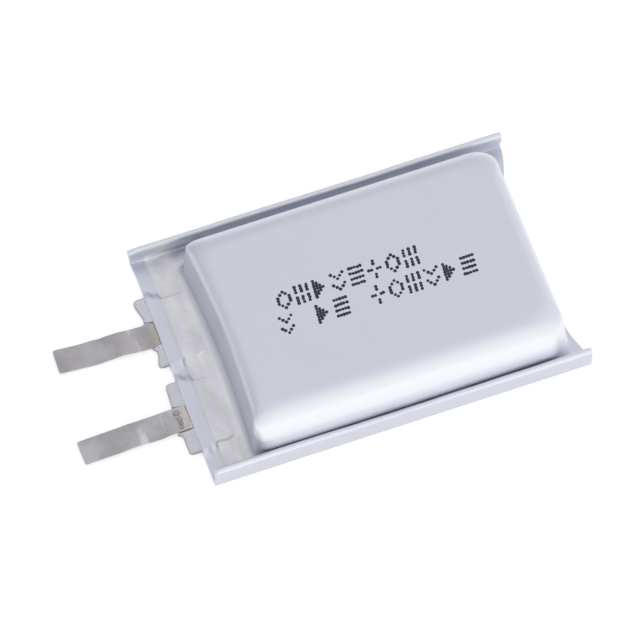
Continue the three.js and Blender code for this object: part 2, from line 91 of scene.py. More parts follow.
camera = bpy.data.objects.new("camera", bpy.data.cameras.new("camera"))
bpy.context.scene.collection.objects.link(camera)
camera.data.lens = VIEW_LENS
view_back = toward(VIEW_AZIMUTH, VIEW_ELEVATION)
camera.location = VIEW_AIM + view_back * VIEW_DISTANCE
camera.rotation_mode = "QUATERNION"
camera.rotation_quaternion = (-view_back).to_track_quat("-Z", "Y")
bpy.context.scene.camera = camera
bpy.context.scene.view_settings.view_transform = "Standard"


def soft_box(name, azimuth, elevation, distance, size, radiance):
    """A rectangular lamp facing the cell: its direction in degrees, its size in metres."""
    light = bpy.data.lights.new(name, "AREA")
    light.shape = "RECTANGLE"
    light.size, light.size_y = size
    light.energy = radiance * math.pi * size[0] * size[1]
    lamp = bpy.data.objects.new(name, light)
    back = toward(math.radians(azimuth), math.radians(elevation))
    lamp.location = back * distance
    lamp.rotation_mode = "QUATERNION"
    lamp.rotation_quaternion = back.to_track_quat("Z", "Y")
    bpy.context.scene.collection.objects.link(lamp)


soft_box("near_soft_box", azimuth=-4, elevation=9, distance=0.5, size=(0.9, 0.16), radiance=0.25)
soft_box("tail_soft_box", azimuth=110, elevation=30, distance=0.5, size=(0.4, 0.3), radiance=0.1)


def add_node(tree, kind, inputs=(), **settings):
    """A shader node. Each of its inputs is linked to a socket or set to a value."""
    made = tree.nodes.new(kind)
    for key, value in settings.items():
        setattr(made, key, value)
    for key, value in dict(inputs).items():
        if isinstance(value, bpy.types.NodeSocket):
            tree.links.new(value, made.inputs[key])
        else:
            made.inputs[key].default_value = value
    return made


world = bpy.data.worlds.new("room")
world.use_nodes = True
room = world.node_tree
room_direction = add_node(room, "ShaderNodeTexCoord").outputs["Generated"]
bright_side = add_node(
    room, "ShaderNodeVectorMath", {0: room_direction, 1: ROOM_BRIGHT_SIDE}, operation="DOT_PRODUCT"
)
room_glow = add_node(
    room,
    "ShaderNodeMapRange",
    {
        "Value": bright_side.outputs["Value"],
        "From Min": -0.7,
        "From Max": 0.9,
        "To Min": ROOM_GLOW[0],
        "To Max": ROOM_GLOW[1],
    },
)
room.nodes["Background"].inputs["Color"].default_value = (0.97, 0.98, 1.0, 1)
room.links.new(room_glow.outputs["Result"], room.nodes["Background"].inputs["Strength"])
bpy.context.scene.world = world


class Finish:
    """A material whose colour, roughness and relief are worked out from the place on the piece."""

    def __init__(self, name, metallic, roughness):
        self.material = bpy.data.materials.new(name)
        self.material.use_nodes = True
        self.tree = self.material.node_tree
        self.shader = self.tree.nodes["Principled BSDF"]
        self.shader.inputs["Metallic"].default_value = metallic
        self.shader.inputs["Roughness"].default_value = roughness
        self.place = add_node(self.tree, "ShaderNodeTexCoord").outputs["Object"]

    def noise(self, size, detail=3, stretch=(1, 1, 1)):
        """Even cloudy noise from 0 to 1, with lumps about size millimetres across."""
        scale = add_node(
            self.tree, "ShaderNodeVectorMath", {0: self.place, 1: stretch}, operation="MULTIPLY"
        )
        inputs = {"Vector": scale.outputs[0], "Scale": 0.5 / (size * MM), "Detail": detail}
        return add_node(self.tree, "ShaderNodeTexNoise", inputs).outputs["Fac"]

    def ramp(self, value, low, high, first=0.0, last=1.0):
        """Turns value smoothly from first to last as it goes from low to high."""
        inputs = {"Value": value, "From Min": low, "From Max": high, "To Min": first, "To Max": last}
        made = add_node(self.tree, "ShaderNodeMapRange", inputs, interpolation_type="SMOOTHSTEP")
        return made.outputs["Result"]

    def past(self, place, start, end):
        """0 up to start and 1 from end on, both in millimetres."""
        return self.ramp(place, start * MM, end * MM)

    def before(self, place, start, end):
        """1 up to start and 0 from end on, both in millimetres."""
        return self.ramp(place, start * MM, end * MM, 1.0, 0.0)

    def math(self, operation, first, second):
        made = add_node(self.tree, "ShaderNodeMath", {0: first, 1: second}, operation=operation)
        return made.outputs[0]

    def both(self, first, second):
        return self.math("MULTIPLY", first, second)

    def mix(self, amount, first, second):
        """first where amount is 0, second where it is 1. Each is a colour or a socket."""
        made = add_node(self.tree, "ShaderNodeMix", {0: amount}, data_type="RGBA")
        for socket, value in ((made.inputs[6], first), (made.inputs[7], second)):
            if isinstance(value, bpy.types.NodeSocket):
                self.tree.links.new(value, socket)
            else:
                socket.default_value = (*value, 1)
        return made.outputs[2]

    def colour(self, socket):
        self.tree.links.new(socket, self.shader.inputs["Base Color"])

    def rough(self, socket):
        self.tree.links.new(socket, self.shader.inputs["Roughness"])

    def relief(self, height, depth):
        """Relief of depth millimetres, finer than the mesh."""
        inputs = {"Height": height, "Distance": depth * MM, "Strength": 1.0}
        bump = add_node(self.tree, "ShaderNodeBump", inputs)
        self.tree.links.new(bump.outputs["Normal"], self.shader.inputs["Normal"])


FLOOR_HALF = 1.5
FLOOR_GLOW = 0.4
FLOOR_DROP = 0.01 * MM


def floor_paper():
    paper = Finish("floor_paper", 0, 0.9)
    paper.colour(paper.mix(paper.noise(40), (0.84, 0.83, 0.82), (0.86, 0.85, 0.84)))
    paper.shader.inputs["Emission Color"].default_value = (1.0, 1.0, 1.0, 1)
    paper.shader.inputs["Emission Strength"].default_value = FLOOR_GLOW
    return paper.material


floor_mesh = bpy.data.meshes.new("floor")
floor_corners = [(-1, -1), (1, -1), (1, 1), (-1, 1)]
floor_mesh.from_pydata(
    [(x * FLOOR_HALF, y * FLOOR_HALF, -FLOOR_DROP) for x, y in floor_corners], [], [(0, 1, 2, 3)]
)
floor_mesh.materials.append(floor_paper())
studio_floor = bpy.data.objects.new("floor", floor_mesh)
bpy.context.scene.collection.objects.link(studio_floor)


# ---------- Electrode roll ----------
# Graphite-coated copper and oxide-coated aluminium foil, wound together with two porous separators
# and held by amber polyimide tape. All of it is inside the pouch, and keeps its shape from the frame.
def coated_foil(name, dark, light, rough):
    """A dry powder coating: matt, with a grain of about 20 micrometres and rolling streaks along X."""
    coat = Finish(name, 0.05, rough)
    streaks = coat.noise(0.6, stretch=(0.15, 1, 1))
    coat.colour(coat.mix(streaks, dark, light))
    coat.relief(coat.noise(0.02, 2), 0.004)
    return coat.material


def separator_film():
    film = Finish("separator_film", 0, 0.7)
    film.colour(film.mix(film.noise(0.8), (0.84, 0.84, 0.81), (0.9, 0.9, 0.88)))
    film.relief(film.noise(0.03, 2), 0.002)
    return film.material


def amber_tape():
    tape = Finish("amber_tape", 0, 0.3)
    tape.colour(tape.mix(tape.noise(0.5), (0.42, 0.21, 0.04), (0.52, 0.29, 0.07)))
    tape.relief(tape.noise(0.3), 0.003)
    return tape.material


def aluminium_lead():
    metal = Finish("aluminium_lead", 1, 0.35)
    brushed = metal.noise(0.05, stretch=(0.05, 1, 1))
    metal.colour(metal.mix(brushed, (0.56, 0.55, 0.57), (0.66, 0.65, 0.67)))
    metal.rough(metal.ramp(brushed, 0.3, 0.7, 0.3, 0.45))
    return metal.material


roll_finishes = {
    coated_foil("graphite_coat", (0.035, 0.036, 0.04), (0.055, 0.056, 0.06), 0.8): ["anode"],
    coated_foil("oxide_coat", (0.022, 0.022, 0.024), (0.036, 0.036, 0.038), 0.9): ["cathode"],
    separator_film(): ["separator_inner", "separator_outer"],
    amber_tape(): ["closing_tape", "tail_tape", "positive_lead_tape", "negative_lead_tape"],
    aluminium_lead(): ["positive_lead"],
}
for roll_material, node_names in roll_finishes.items():
    for node_name in node_names:
        node_mesh = frame["nodes"][node_name].data
        node_mesh.materials.clear()
        node_mesh.materials.append(roll_material)


# ---------- Nickel strips ----------
# Soft rolled nickel, 2 mm by 0.1 mm, slit from a coil and cropped by hand. The positive strip is spot
# welded onto the aluminium lead just outside the seal; the negative one runs unbroken into the roll.
STRIP_WIDTH = 2.0
STRIP_THICKNESS = 0.1
STRIP_COLUMNS = 40
TIP_CORNER = 0.16
TIP_FADE = 0.5  # from the tip, over which the rounding of its corners dies away
POSITIVE_ROOT_HIDDEN = 1.8  # bend line back to the strip's inner end
LEAD_RISE_GAP = 0.43  # upright part of the negative lead to the end of the roll
LEAD_BEND_RADIUS = 0.3
LINE_STEP = 0.055


def grid_faces(rows, columns):
    """Quads of a grid stored row by row, facing the side that sees rows up and columns to the right."""
    faces = []
    for row in range(rows - 1):
        for column in range(columns - 1):
            corner = row * columns + column
            faces.append((corner, corner + 1, corner + columns + 1, corner + columns))
    return faces


def thicken(points, faces, thickness):
    """Gives a sheet a back, behind its faces by one thickness or one for each point, and a rim."""
    points = np.asarray(points, float)
    normals = np.zeros_like(points)
    for size in {len(face) for face in faces}:
        index = np.array([face for face in faces if len(face) == size])
        across = points[index[:, 2]] - points[index[:, 0]]
        along = points[index[:, -1]] - points[index[:, 1]]
        square = np.cross(across, along)
        for corner in range(size):
            np.add.at(normals, index[:, corner], square)
    lengths = np.linalg.norm(normals, axis=1, keepdims=True)
    depth = np.reshape(thickness, (-1, 1))
    inside = points - normals / np.maximum(lengths, 1e-12) * depth
    count = len(points)
    edges = {(face[i - 1], face[i]) for face in faces for i in range(len(face))}
    rim = [(b, a, a + count, b + count) for a, b in sorted(edges) if (b, a) not in edges]
    under = [tuple(count + i for i in reversed(face)) for face in faces]
    return np.vstack([points, inside]), [*faces, *under, *rim]


def add_piece(name, points, faces, material, slot, crease=40):
    """A smooth-shaded piece, with sharp edges where its faces meet at more than crease degrees."""
    mesh = bpy.data.meshes.new(name)
    mesh.from_pydata((np.asarray(points) * MM).tolist(), [], faces)
    mesh.polygons.foreach_set("use_smooth", [True] * len(mesh.polygons))
    mesh.set_sharp_from_angle(angle=math.radians(crease))
    mesh.materials.append(material)
    piece = bpy.data.objects.new(name, mesh)
    bpy.context.scene.collection.objects.link(piece)
    return piece


def steps(start, stop, size):
    """Evenly spaced values from start to stop, about size apart."""
    return np.linspace(start, stop, max(2, round(abs(stop - start) / size) + 1))


def wander(x, y, size, seed):
    """Smooth noise between about -1 and 1 with lumps size millimetres across."""
    return noise.noise(Vector((x / size, y / size, seed * 7.31)))


def rounded_line(corners, radius):
    """An XZ line with its inner corners rounded, as points with the direction at each."""
    line = []
    for i, corner in enumerate(corners):
        corner = np.array(corner, float)
        if i in (0, len(corners) - 1):
            line.append(corner)
            continue
        before = corner - corners[i - 1]
        after = corners[i + 1] - corner
        start = corner - before / np.linalg.norm(before) * radius
        end = corner + after / np.linalg.norm(after) * radius
        for share in np.linspace(0, 1, 7):
            line.append((1 - share) ** 2 * start + 2 * share * (1 - share) * corner + share**2 * end)
    filled = [line[0]]
    for point in line[1:]:
        gap = np.linalg.norm(point - filled[-1])
        count = max(1, round(gap / LINE_STEP))
        start = filled[-1]
        filled += [start + (point - start) * (k + 1) / count for k in range(count)]
    filled = np.array(filled)
    along = np.gradient(filled, axis=0)
    return filled, along / np.linalg.norm(along, axis=1, keepdims=True)


def store_marks(piece, name, values):
    """A number at each point of a thickened sheet, the same on both faces, for its material."""
    marks = piece.data.attributes.new(name, "FLOAT", "POINT")
    marks.data.foreach_set("value", np.array([*values, *values], np.float32))


def strip_frame(joint_name):
    """The bend line's middle, and the directions toward the tip and across, in millimetres."""
    joint = next(j for j in frame["joints"] if j["name"] == joint_name)
    across = np.array(joint["axis"], float)
    outward = np.array([-across[1], across[0], 0.0])
    return np.array(joint["pos_m"]) / MM, outward, across


def nickel_strip(name, joint_name, line, surface, edge_shift, burn, material):
    """A strip along a line of (distance inward from the bend, height) points. Its relief, edges and
    scorch marks are functions of the distance past the bend and the place across the strip."""
    pivot, outward, across = strip_frame(joint_name)
    path, along = line
    places = np.linspace(-STRIP_WIDTH / 2, STRIP_WIDTH / 2, STRIP_COLUMNS + 1)
    points = []
    for width in reversed(places):
        for (inward, height), (step_in, step_up) in zip(path, along):
            lift = STRIP_THICKNESS / 2 + surface(-inward, width)
            past_corner = max(0.0, abs(width) - STRIP_WIDTH / 2 + TIP_CORNER)
            trimmed = TIP_CORNER - math.sqrt(TIP_CORNER**2 - past_corner**2)
            inward += trimmed * max(0.0, 1 - (inward - path[0][0]) / TIP_FADE)
            place = pivot - outward * (inward - lift * step_up)
            place = place + across * (width + edge_shift(-inward, width))
            points.append(place + np.array([0, 0, height + lift * step_in]))
    faces = [tuple(reversed(face)) for face in grid_faces(len(places), len(path))]
    strip = add_piece(name, *thicken(points, faces, STRIP_THICKNESS), material, "nickel")
    store_marks(
        strip, "scorch", [burn(-inward, width) for width in reversed(places) for inward, _ in path]
    )
    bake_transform(strip)
    return strip


def nickel_look(name, root, root_reach, grey):
    """Rolled nickel, greasy and finger-marked, with pale patches painted on as highlights. Its root
    shows straw and pink tints near the seal.
    """
    metal = Finish(name, 1, 0.34)
    rolled = metal.noise(0.12, 4, stretch=(0.06, 1, 1))
    smudge = metal.noise(1.1, 4)
    low = tuple(channel * 0.8 for channel in grey)
    plain = metal.mix(metal.ramp(smudge, 0.35, 0.68), grey, low)
    # Painted highlights: pale patches of a lighter grey, scattered over the strip.
    bright = tuple(min(0.9, channel * 1.42) for channel in grey)
    painted_highlight_patches = metal.noise(0.6, 4, stretch=(1.3, 0.3, 1))
    plain = metal.mix(metal.ramp(painted_highlight_patches, 0.56, 0.74, 0.0, 0.8), plain, bright)
    x_place = add_node(metal.tree, "ShaderNodeSeparateXYZ", {0: metal.place}).outputs[0]
    ragged = metal.math("ADD", x_place, metal.math("MULTIPLY", smudge, 0.6 * MM))
    mottle = metal.noise(0.22, 4)
    heat = metal.mix(metal.ramp(mottle, 0.38, 0.62), root, grey)
    near_root = metal.ramp(ragged, (root_reach - 0.15) * MM, (root_reach + 0.45) * MM)
    scorch = add_node(metal.tree, "ShaderNodeAttribute", attribute_name="scorch").outputs["Fac"]
    metal.colour(metal.mix(scorch, metal.mix(near_root, plain, heat), (0.1, 0.07, 0.045)))
    greasy = metal.ramp(smudge, 0.3, 0.7, 0.02, 0.2)
    milled = metal.ramp(rolled, 0.3, 0.7, 0.2, 0.34)
    metal.rough(metal.math("ADD", greasy, milled))
    metal.relief(metal.math("ADD", rolled, metal.noise(0.18, 3)), 0.006)
    return metal.material


WELD_RINGS = [  # past the bend line, across, radius
    (-1.01, 0.52, 0.2),
    (-1.06, -0.02, 0.17),
    (-1.04, -0.36, 0.13),
    (-0.98, -0.68, 0.14),
]


def welded_surface(distance, width):
    """The positive strip's relief: waves, a crease and a ridge across it, and the weld craters."""
    lift = 0.035 * wander(distance, width * 0.5, 1.7, 3) * min(1, abs(distance + 1.8))
    lift -= 0.09 * math.exp(-(((distance - 0.75) / 0.4) ** 2)) * (0.6 - 0.4 * width)
    lift += 0.05 * math.exp(-(((distance - 2.6 - 0.25 * width) / 0.3) ** 2))
    for place, across, radius in WELD_RINGS:
        away = math.hypot(distance - place, width - across)
        lift += 0.026 * math.exp(-(((away - radius) / 0.045) ** 2))
        lift -= 0.03 * math.exp(-((away / (0.6 * radius)) ** 2))
    return lift


def weld_scorch(distance, width):
    """How burnt the positive strip is, from 0 to 1: the rim and the middle of each weld crater."""
    mark = 0.0
    for place, across, radius in WELD_RINGS:
        away = math.hypot(distance - place, width - across)
        patchy = 0.62 + 0.3 * wander(distance, width, 0.16, 17)
        mark = max(mark, patchy * math.exp(-(((away - radius) / 0.055) ** 2)))
        mark = max(mark, 0.5 * math.exp(-((away / (0.45 * radius)) ** 2)))
    return mark


def no_scorch(_distance, _width):
    return 0.0


def handled_surface(distance, width):
    """The negative strip's relief: flat in the seal, then waves and one slanting kink."""
    if distance < -1.5:
        return 0.0
    fade = min(1, (distance + 1.5) / 1.5)
    wave = 0.05 * wander(distance, width * 0.4, 1.6, 8) + 0.07 * math.sin(distance * 1.15 + 0.4)
    kink = 0.08 * math.exp(-(((distance - 2.2 - 0.3 * width) / 0.28) ** 2))
    return fade * (wave - kink)


def slit_edge(seed, wave):
    """The strip's edges drift a little, as the slitting knife and handling leave them."""

    def shift(distance, width):
        outer = max(0.0, distance + 1.0)
        return wave * min(1, outer) * wander(distance, np.sign(width) * 3, 1.7, seed) * abs(width)

    return shift


POSITIVE_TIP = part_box("positive_tab")[0].x / MM
NEGATIVE_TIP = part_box("negative_tab")[0].x / MM
SEAL_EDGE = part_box("pouch_back")[0].x / MM
positive_pivot = strip_frame("positive_tab_bend")[0]
negative_pivot = strip_frame("negative_tab_bend")[0]
positive_line = rounded_line([[POSITIVE_TIP - positive_pivot[0], 0], [POSITIVE_ROOT_HIDDEN, 0]], 0)
lead_inner_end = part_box("negative_lead")[1].x / MM - negative_pivot[0]
lead_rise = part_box("separator_inner")[0].x / MM - LEAD_RISE_GAP - negative_pivot[0]
lead_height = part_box("negative_lead")[1].z / MM - STRIP_THICKNESS / 2 - negative_pivot[2]
negative_line = rounded_line(
    [
        [NEGATIVE_TIP - negative_pivot[0], 0],
        [lead_rise, 0],
        [lead_rise, lead_height],
        [lead_inner_end, lead_height],
    ],
    LEAD_BEND_RADIUS,
)
positive_strip = nickel_strip(
    "positive_nickel_strip",
    "positive_tab_bend",
    positive_line,
    welded_surface,
    slit_edge(5, 0.03),
    weld_scorch,
    nickel_look("nickel_pink_root", (0.74, 0.62, 0.58), -15.7, (0.58, 0.56, 0.58)),
)
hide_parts("positive_tab_root", "positive_tab")
negative_strip = nickel_strip(
    "negative_nickel_strip",
    "negative_tab_bend",
    negative_line,
    handled_surface,
    slit_edge(11, 0.05),
    no_scorch,
    nickel_look("nickel_straw_root", (0.55, 0.48, 0.37), -15.2, (0.54, 0.52, 0.54)),
)
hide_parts("negative_lead", "negative_tab")


# ---------- Sealant films ----------
# Two strips of cloudy polypropylene for each tab, melted on round it before the pouch is sealed. The
# heat leaves a thicker bead along their rims, and they stop short over the nickel.
FILM_THICKNESS = 0.07
FILM_STEP = 0.07
FILM_COLUMNS = 46
FILM_CROWDING = 1.6  # over 1, the columns crowd toward the cropped edge
FILM_BEAD = 0.035
FILM_NOTCH = 0.94  # share of the upper film that is missing over the nickel
FILM_CORNER = 0.3
FILM_SPREAD_FROM = -14.2  # the films are narrower than this inside the seal, and spread out past it
FILM_SPREAD_TO = -14.95
FILM_SPANS = {  # Y of both ends in the seal, and where the melt has spread
    "positive": ((-6.6, -1.3), (-7.0, -0.88)),
    "negative": ((0.8, 6.05), (0.6, 6.6)),
}
FILM_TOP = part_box("negative_film_upper")[1].z / MM


def sealant_look():
    film = Finish("sealant_film", 0, 0.38)
    cloud = film.noise(0.5, 4)
    specks = film.ramp(film.noise(0.09, 1), 0.7, 0.76)
    milky = film.mix(cloud, (0.74, 0.74, 0.80), (0.84, 0.845, 0.88))
    # Painted shade: a thin dark line along each film's rim, from the rim mark.
    rim = add_node(film.tree, "ShaderNodeAttribute", attribute_name="rim").outputs["Fac"]
    milky = film.mix(film.math("MULTIPLY", rim, 0.75), milky, (0.36, 0.35, 0.4))
    film.colour(film.mix(specks, milky, (0.33, 0.31, 0.33)))
    film.shader.inputs["Transmission Weight"].default_value = 0.15
    film.shader.inputs["IOR"].default_value = 1.49
    film.relief(film.noise(0.15), 0.008)
    return film.material


def smooth(value, low, high):
    """0 up to low and 1 from high on, with a soft rise between them."""
    share = min(1.0, max(0.0, (value - low) / (high - low)))
    return share * share * (3 - 2 * share)


def film_span(pole, x):
    """The Y of both ends of a pole's films at x."""
    spread = smooth(x, FILM_SPREAD_TO, FILM_SPREAD_FROM)
    inner, outer = FILM_SPANS[pole]
    return [end_out + (end_in - end_out) * spread for end_in, end_out in zip(inner, outer)]


def film_piece(name, node, pole, outline, tab_y, side, notch, material):
    """One film strip, thickened along its rim and cut away over the nickel by the share notch."""
    low, high = (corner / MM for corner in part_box(node))
    ends = FILM_SPANS[pole][1]
    rows = steps(*ends, FILM_STEP)
    columns = np.linspace(0, 1, FILM_COLUMNS)
    face_z = FILM_TOP if side > 0 else low.z
    points = []
    rims = []
    for y in rows:
        reach = outline(y) * (1 - notch * (1 - smooth(abs(y - tab_y), 1.0, 1.16)))
        from_end = min(y - ends[0], ends[1] - y)
        share_across = (y - ends[0]) / (ends[1] - ends[0])
        if from_end < FILM_CORNER:
            reach -= FILM_CORNER - math.sqrt(FILM_CORNER**2 - (FILM_CORNER - from_end) ** 2)
        tip = SEAL_EDGE - reach
        for share in columns:
            x = tip + (high.x - tip) * share**FILM_CROWDING
            outside = smooth(SEAL_EDGE - 0.05 - x, 0, 0.15)
            rim = min(x - tip, from_end)
            bead = FILM_BEAD * outside * (math.exp(-(((rim - 0.09) / 0.06) ** 2)) - 0.4)
            ripple = 0.012 * outside * wander(x, y, 0.7, 21)
            away = smooth(abs(y - tab_y), 0.98, 1.3)
            # How near the rim each point is, for the painted line of shade along it.
            rims.append(math.exp(-((max(0.0, rim) / 0.07) ** 2)))
            start, end = film_span(pole, x)
            across = start + (end - start) * share_across
            points.append((x, across, face_z + side * (bead + ripple) * away))
    faces = grid_faces(len(rows), len(columns))
    if side < 0:
        faces = [tuple(reversed(face)) for face in faces]
    beside = [smooth(abs(y - tab_y), 1.05, 1.25) for _, y, _ in points]
    depth = FILM_THICKNESS + STRIP_THICKNESS * 0.55 * np.array(beside)
    piece = add_piece(name, *thicken(points, faces, depth), material, "sealant_film", 50)
    store_marks(piece, "rim", rims)
    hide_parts(node)
    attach(piece, "cell")


def positive_outline(y):
    """How far the positive films show past the seal edge, with a small tongue of melt."""
    far_side = 0.98 - 0.06 * (y + 1.5)
    near_side = 1.06 + 0.34 * math.exp(-(((y + 5.08) / 0.18) ** 2))
    return near_side + (far_side - near_side) * smooth(y, -4.6, -3.2)


def negative_outline(y):
    """How far the negative films show past the seal edge, cropped unevenly."""
    near_side = 0.83 - 0.26 * smooth(y, 0.8, 1.9) + 0.22 * smooth(y, 2.0, 2.35)
    far_side = 0.66 + 0.29 * smooth(y, 4.6, 6.4) + 0.14 * math.exp(-(((y - 4.5) / 0.16) ** 2))
    return near_side + (far_side - near_side) * smooth(y, 2.6, 4.2)


film_look = sealant_look()
for film_node, film_outline, film_tab_y, film_side in (
    ("positive_film_lower", positive_outline, positive_pivot[1], -1),
    ("positive_film_upper", positive_outline, positive_pivot[1], 1),
    ("negative_film_lower", negative_outline, negative_pivot[1], -1),
    ("negative_film_upper", negative_outline, negative_pivot[1], 1),
):
    film_piece(
        film_node.replace("film", "sealant"),
        film_node,
        film_node.split("_")[0],
        film_outline,
        film_tab_y,
        film_side,
        FILM_NOTCH if film_side > 0 else 0,
        film_look,
    )


# ---------- Back of the pouch ----------
# The flat half of the laminate: nylon over aluminium foil over polypropylene. At the tail it folds
# back on itself, and along both sides it turns up and over as the outside of the hemmed wings.
LAMINATE = 0.113
SEALED = 0.236  # both layers
FOLD_BEAD = SEALED / 2  # radius of the fold at the tail
WING_BEND = 0.3
HEM_DEPTH = 1.0
HEM_RADIUS = 0.246
CELL_LOW, CELL_HIGH = (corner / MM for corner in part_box("pouch_back"))
HALF_WIDTH = CELL_HIGH.y
WING_HEIGHT = CELL_HIGH.z
BEND_START = HALF_WIDTH - WING_BEND
EAR_WIDTH = 3.5
TAIL_SETBACK = 0.8
CUT_SLOPE = 0.008  # the seal edge is cut a hair off square
CUT_FLARE = 0.1  # and runs out a little at the far wing
WING_DIP = {-1: 0.17, 1: 0.1}  # how much lower each wing is in the middle
WING_WEAR = 0.1  # how much, and how far along, a wing is worn down at its ends
SLANT = 0.2
SLANT_REACH = 3.0
# Where the laminate's finish changes: the start and the end of each soft edge.
HEM_PALE = (1.98, 2.16)  # Z
BAR_FROM = (-13.85, -13.65)  # X
BAR_TO = (-11.9, -11.5)  # X
BAR_TOP = (0.55, 0.8)  # Z
# Where the painted shade on the head and far walls lies.
HEAD_WALL_FROM = (-11.95, -11.7)  # X
HEAD_WALL_TO = (-11.1, -9.8)  # X
FAR_WALL_FROM = (6.9, 7.9)  # Y
FAR_WALL_ABOVE = (2.6, 3.6)  # Z
WALLS_ABOVE = (0.5, 1.0)  # Z
WALLS_BELOW = (5.1, 6.25)  # Z
# Where the painted highlight over the near shoulder lies.
NEAR_SHOULDER_TO = (-8.6, -7.7)  # Y
NEAR_SHOULDER_ABOVE = (3.2, 4.2)  # Z


def seal_edge_x(y):
    return CELL_LOW.x - 0.02 + CUT_SLOPE * y - CUT_FLARE * smooth(y, 8.2, 10)


def tail_x(y):
    """The tail fold: straight behind the cup, and flaring out to the ends of both wings."""
    share = smooth(abs(y), BEND_START - EAR_WIDTH, BEND_START)
    return CELL_HIGH.x - TAIL_SETBACK * (1 - share)


def wing_height(x, side):
    middle = math.cos(math.pi * x / (CELL_HIGH.x - CELL_LOW.x)) ** 2
    from_end = min(x - CELL_LOW.x, CELL_HIGH.x - x)
    worn = WING_WEAR * math.exp(-max(from_end, 0) / WING_WEAR)
    return WING_HEIGHT - WING_DIP[side] * middle - worn + 0.012 * wander(x, side * 5, 2.5, 31)


def wing_section(x, side, depth):
    """Points (y, z) up and over one wing at x, for the layer face depth inside the outer face."""
    height = wing_height(x, side)
    section = []
    for angle in np.linspace(0, math.pi / 2, 7):
        radius = WING_BEND - depth
        section.append((BEND_START + radius * math.sin(angle), WING_BEND - radius * math.cos(angle)))
    for z in np.linspace(WING_BEND, height - HEM_RADIUS, 12)[1:-1]:
        section.append((HALF_WIDTH - depth, z))
    for angle in np.linspace(0, math.pi, 13):
        radius = HEM_RADIUS - depth
        fold_y = HALF_WIDTH - HEM_RADIUS + radius * math.cos(angle)
        section.append((fold_y, height - HEM_RADIUS + radius * math.sin(angle)))
    for z in np.linspace(height - HEM_RADIUS, height - HEM_DEPTH, 6)[1:]:
        section.append((HALF_WIDTH - 2 * HEM_RADIUS + depth, z))
    lean = 0.05 * wander(x, side * 9, 6.0, 33) + 0.02 * wander(x, side * 9, 1.8, 34)
    return [(side * (y + lean * (z / WING_HEIGHT) ** 2 * min(1, z)), z) for y, z in section]


def slanted(x, y, z):
    """At the seal end the near wing is trimmed a little back from square, and the far one forward."""
    near_end = 1 - smooth(x, CELL_LOW.x, CELL_LOW.x + SLANT_REACH)
    return x - math.copysign(SLANT, y) * near_end * max(0.0, z - SEALED) / WING_HEIGHT


def crosswise(x, depth, flat):
    """One whole section of the winged sheet at x, from the near hem's free edge to the far one's."""
    near = wing_section(x, -1, depth)[::-1]
    far = wing_section(x, 1, depth)
    return near + [(y, depth) for y in flat] + far


def silver_laminate(name, pressed):
    """Satin foil seen through clear nylon, paler along the tops of the hems. The drawn sheet is mottled
    and warmer where the seal bar pressed it, darker on the head and far walls as painted shade, and
    paler over the near shoulder as a painted highlight."""
    foil = Finish(name, 0.82, 0.36)
    cloud = foil.noise(5, 2)
    grain = foil.noise(0.07, 3)
    x, y, z = add_node(foil.tree, "ShaderNodeSeparateXYZ", {0: foil.place}).outputs
    gloss = foil.math("ADD", foil.ramp(grain, 0.35, 0.65, 0.0, 0.05), 0.4)
    if pressed:
        clear = foil.mix(cloud, (0.725, 0.74, 0.825), (0.755, 0.765, 0.845))
        ragged = foil.math("ADD", x, foil.math("MULTIPLY", foil.noise(1.2, 3), 0.35 * MM))
        frosted = foil.both(foil.past(ragged, *BAR_FROM), foil.before(x, *BAR_TO))
        frosted = foil.both(frosted, foil.before(z, *BAR_TOP))
        mottle = foil.ramp(foil.noise(0.9, 3, stretch=(1, 0.6, 1)), 0.3, 0.7)
        milky = foil.mix(mottle, (0.79, 0.785, 0.805), (0.93, 0.92, 0.935))
        clear = foil.mix(frosted, clear, milky)
        # Painted shade: the upright head wall and the upper far wall are given a darker tone.
        head_wall = foil.both(foil.past(x, *HEAD_WALL_FROM), foil.before(x, *HEAD_WALL_TO))
        far_wall = foil.both(foil.past(y, *FAR_WALL_FROM), foil.past(z, *FAR_WALL_ABOVE))
        upright = foil.both(foil.past(z, *WALLS_ABOVE), foil.before(z, *WALLS_BELOW))
        painted_wall_shade = foil.both(foil.math("MAXIMUM", head_wall, far_wall), upright)
        clear = foil.mix(painted_wall_shade, clear, (0.54, 0.56, 0.63))
        # Painted highlight: the near shoulder is given a paler, less blue tone.
        shoulder = foil.both(foil.before(y, *NEAR_SHOULDER_TO), foil.past(z, *NEAR_SHOULDER_ABOVE))
        clear = foil.mix(shoulder, clear, (0.83, 0.845, 0.87))
        gloss = foil.math("ADD", gloss, foil.math("MULTIPLY", frosted, 0.1))
    else:
        # Painted shade: the back half is a darker copy of the front's foil tone, so the outer faces of
        # the wings read darker.
        clear = foil.mix(cloud, (0.61, 0.625, 0.70), (0.64, 0.65, 0.72))
        # Paler along the tops of the hems.
        clear = foil.mix(foil.past(z, *HEM_PALE), clear, (0.79, 0.80, 0.85))
    foil.colour(clear)
    foil.rough(gloss)
    foil.shader.inputs["Coat Weight"].default_value = 0.25
    foil.shader.inputs["Coat Roughness"].default_value = 0.3
    foil.shader.inputs["Coat IOR"].default_value = 1.5
    dents = foil.math("MULTIPLY", foil.noise(0.35, 4), 1 if pressed else 5)
    foil.relief(foil.math("ADD", grain, dents), 0.0025)
    return foil.material


flat_rows = steps(-BEND_START, BEND_START, 0.5)[1:-1]
back_columns = steps(CELL_LOW.x, CELL_HIGH.x - FOLD_BEAD, 0.35)
bead_angles = np.linspace(0, math.pi, 9)[1:]


def tail_share(x):
    """How far along the sheet a column is, from 0 at the seal edge to 1 at the tail."""
    return (x - CELL_LOW.x) / (CELL_HIGH.x - FOLD_BEAD - CELL_LOW.x)


